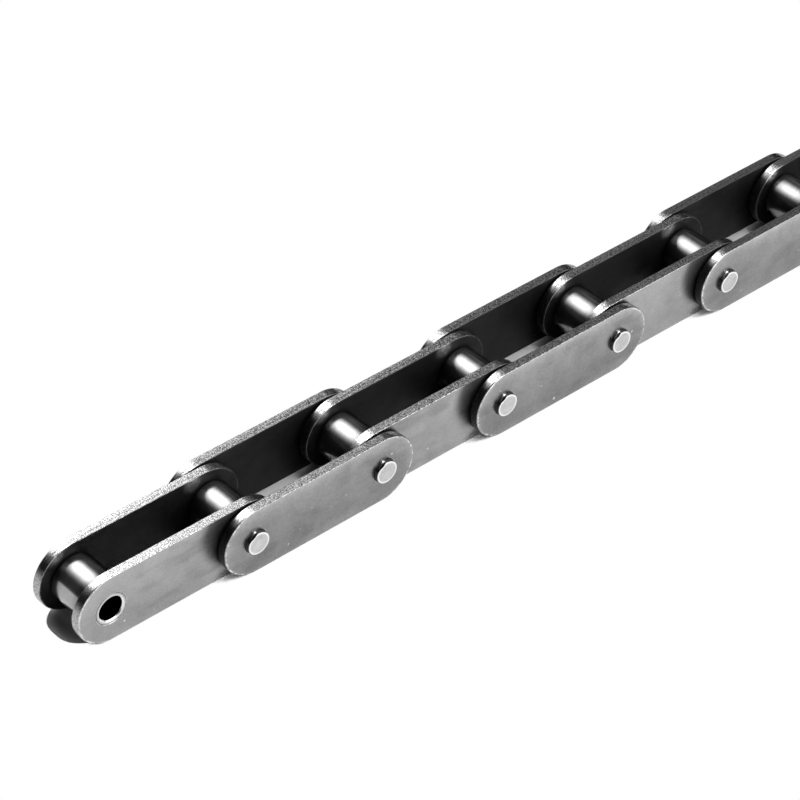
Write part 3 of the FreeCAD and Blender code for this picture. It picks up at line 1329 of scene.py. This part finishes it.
@dataclass
class DarkCard:
    """A matt black card on the floor that darkens what reflects it. Lengths are in metres."""

    middle: tuple[float, float] = (0.42, 0.29)
    facing: tuple[float, float] = (-0.82, -0.57)
    half_width: float = 0.32
    height: float = 0.15
    tone: float = 0.01

    def build(self) -> bpy.types.Object:
        """Make the card, unseen by the camera and casting no shadow itself.

        Returns:
            The card.
        """
        across = np.linspace(-self.half_width, self.half_width, 3)
        x = self.middle[0] - self.facing[1] * across
        y = self.middle[1] + self.facing[0] * across
        up = np.repeat([0.0, self.height], 3)
        points = np.stack([np.tile(x, 2), np.tile(y, 2), up], -1)
        material, graph = new_material("dark_card")
        matt = graph.add("ShaderNodeBsdfDiffuse", {"Color": graph.grey(self.tone)})
        graph.finish(matt.outputs[0])
        return make_stage("dark_card", Surface(points, grid_faces(2, 3)), material)


@dataclass
class Floor:
    """A wide pale floor that takes the strand's shadow. Lengths are in metres."""

    half_width: float = 6.0
    tone: float = 0.82
    seen_tone: float = 0.75
    open_reach: float = 0.03
    open_span: tuple[float, float] = (0.56, 0.62)
    open_samples: int = 16
    end_x: float = -118.4 * MM
    end_round: float = 4.5 * MM
    end_middle: float = 0.9 * MM
    end_half_width: float = 6.3 * MM
    end_blur: float = 0.3 * MM
    end_span: tuple[float, float] = (-113.0 * MM, -116.0 * MM)
    end_share: float = 0.25
    end_shade: float = 0.66

    def openness(self, graph: NodeGraph) -> bpy.types.NodeSocket:
        """Say how open the floor is: low under and between the plates, high right at their feet.

        It is the higher of two views of the sky, one leaning to the front and one to the rear,
        and both along the strand. Round the open left end, where the shadow has a sharp rim, it
        is raised outside that rim, which is a third power of the place across, and lowered
        inside.

        Args:
            graph: the floor's node tree.

        Returns:
            The openness, from about 0 to 1.
        """
        views = []
        for side in Side:
            toward = Vector((1.0, side.value, 1.0)).normalized()
            normal = graph.add("ShaderNodeCombineXYZ", dict(enumerate(toward))).outputs[0]
            inputs = {"Distance": self.open_reach, "Normal": normal}
            view = graph.add("ShaderNodeAmbientOcclusion", inputs, samples=self.open_samples)
            views.append(view.outputs["AO"])
        along, across = (graph.along(axis, graph.position()) for axis in "XY")
        across = graph.math("ABSOLUTE", graph.math("SUBTRACT", across, self.end_middle))
        across = graph.math("DIVIDE", across, self.end_half_width)
        rim = graph.math("MULTIPLY", graph.math("POWER", across, 3.0), self.end_round)
        inside = graph.step(graph.math("SUBTRACT", along, rim), self.end_x - self.end_blur,
                            self.end_x + self.end_blur)
        lean = graph.swing(0.0, inside, 2 * self.end_share)
        lean = graph.math("MULTIPLY", lean, graph.step(along, *self.end_span))
        return graph.math("SUBTRACT", graph.math("MAXIMUM", *views), lean)

    def build(self) -> bpy.types.Object:
        """Make the floor.

        Where something stands close over it, it is matt white under the lights and holds the
        shadow. Where it is open, metal mirrors it as an even white, and the camera looks
        through it at the white room, so that links that fold down past it are seen. It holds
        back nothing from below.

        Returns:
            The floor.
        """
        reach = np.linspace(-self.half_width, self.half_width, 3)
        x, y = np.meshgrid(reach, reach, indexing="xy")
        points = np.stack([x.ravel(), y.ravel(), np.zeros(x.size)], -1)
        material, graph = new_material("pale_floor")
        material.cycles.emission_sampling = "NONE"
        rays = graph.add("ShaderNodeLightPath").outputs
        seen = graph.math("ADD", rays["Is Camera Ray"], rays["Is Glossy Ray"])
        seen = graph.math("ADD", seen, rays["Is Transmission Ray"])
        by_end = graph.step(graph.along("X", graph.position()), *self.end_span)
        tone = graph.blend(seen, self.tone, graph.dimmed(self.seen_tone, by_end, self.end_shade))
        matt = graph.add("ShaderNodeBsdfDiffuse", {"Color": graph.grey(tone)}).outputs[0]
        even = graph.add("ShaderNodeEmission").outputs[0]
        clear = graph.add("ShaderNodeBsdfTransparent").outputs[0]
        share = graph.step(self.openness(graph), *self.open_span)
        bright = graph.mixed(rays["Is Camera Ray"], even, clear)
        upper = graph.mixed(graph.math("MULTIPLY", share, seen), matt, bright)
        behind = graph.add("ShaderNodeNewGeometry").outputs["Backfacing"]
        graph.finish(graph.mixed(behind, upper, clear))
        return make_stage("floor", Surface(points, grid_faces(3, 3)), material, seen=True)


@dataclass
class Surroundings:
    """The dim room round the lights, pale along the horizon, and white to the camera."""

    dim: float = 0.05
    pale: float = 0.95
    pale_to: float = 0.0
    dim_from: float = 0.03

    def build(self) -> None:
        """Set the world: its tone follows the height of the direction looked in."""
        world = bpy.data.worlds.new("room")
        world.use_nodes = True
        bpy.context.scene.world = world
        graph = NodeGraph(world.node_tree)
        height = graph.along("Z", graph.add("ShaderNodeTexCoord").outputs["Generated"])
        tone = graph.blend(graph.step(height, self.pale_to, self.dim_from), self.pale, self.dim)
        seen = graph.add("ShaderNodeLightPath").outputs["Is Camera Ray"]
        tone = graph.grey(graph.blend(seen, tone, 1.0))
        background = graph.add("ShaderNodeBackground", {"Color": tone, "Strength": 1.0})
        graph.add("ShaderNodeOutputWorld", {"Surface": background.outputs[0]})


@dataclass
class PhotoCamera:
    """The camera at the photograph's place and angle, for a square picture, in metres."""

    place: tuple[float, float, float] = (-0.345335, -0.327412, 0.381608)
    right: tuple[float, float, float] = (0.74495228, -0.66619765, 0.03502566)
    down: tuple[float, float, float] = (-0.40239192, -0.49059703, -0.77291351)
    forward: tuple[float, float, float] = (0.53209665, 0.56168964, -0.63354392)
    lens_mm: float = 135.158
    sensor_mm: float = 36.0
    shift: tuple[float, float] = (-0.00090, 0.00030)
    clip: tuple[float, float] = (0.01, 50.0)

    def build(self) -> bpy.types.Object:
        """Make the camera and give it to the scene.

        Returns:
            The camera.
        """
        data = bpy.data.cameras.new("photo_camera")
        data.lens = self.lens_mm
        data.sensor_width = self.sensor_mm
        data.clip_start, data.clip_end = self.clip
        data.shift_x, data.shift_y = self.shift
        item = bpy.data.objects.new("photo_camera", data)
        axes = Matrix((self.right, -Vector(self.down), -Vector(self.forward))).transposed()
        item.matrix_world = Matrix.Translation(self.place) @ axes.to_4x4()
        bpy.context.scene.collection.objects.link(item)
        bpy.context.scene.camera = item
        return item


@dataclass
class Studio:
    """Floor, lights, dark card, surroundings and camera."""

    panels: tuple[SoftPanel, ...] = (
        SoftPanel("rear_panel", (-0.028, 0.525, 0.543), radius=0.25, fade=0.30, strength=5.0),
        SoftPanel("front_panel", (0.321, -0.757, 0.374), radius=0.50, fade=0.20, strength=4.4),
        SoftPanel("right_panel", (0.560, 0.530, 0.600), radius=0.22, fade=0.30, strength=0.25),
        SoftPanel("top_panel", (0.050, -0.020, 0.700), radius=0.10, fade=0.15, strength=20.0),
    )
    card: DarkCard = field(default_factory=DarkCard)
    floor: Floor = field(default_factory=Floor)
    surroundings: Surroundings = field(default_factory=Surroundings)
    camera: PhotoCamera = field(default_factory=PhotoCamera)

    def build(self) -> None:
        """Set up the whole studio."""
        for part in (*self.panels, self.card, self.floor, self.surroundings, self.camera):
            part.build()
        bpy.context.scene.view_settings.view_transform = "Standard"


def main() -> None:
    """Build the studio and the strand."""
    logging.basicConfig(level=logging.INFO, format="%(message)s")
    Studio().build()
    link_count = sum("_link_" in name for name in frame["bodies"])
    made = Strand(link_count, Finishes.build()).dress()


if __name__ == "__main__":
    main()
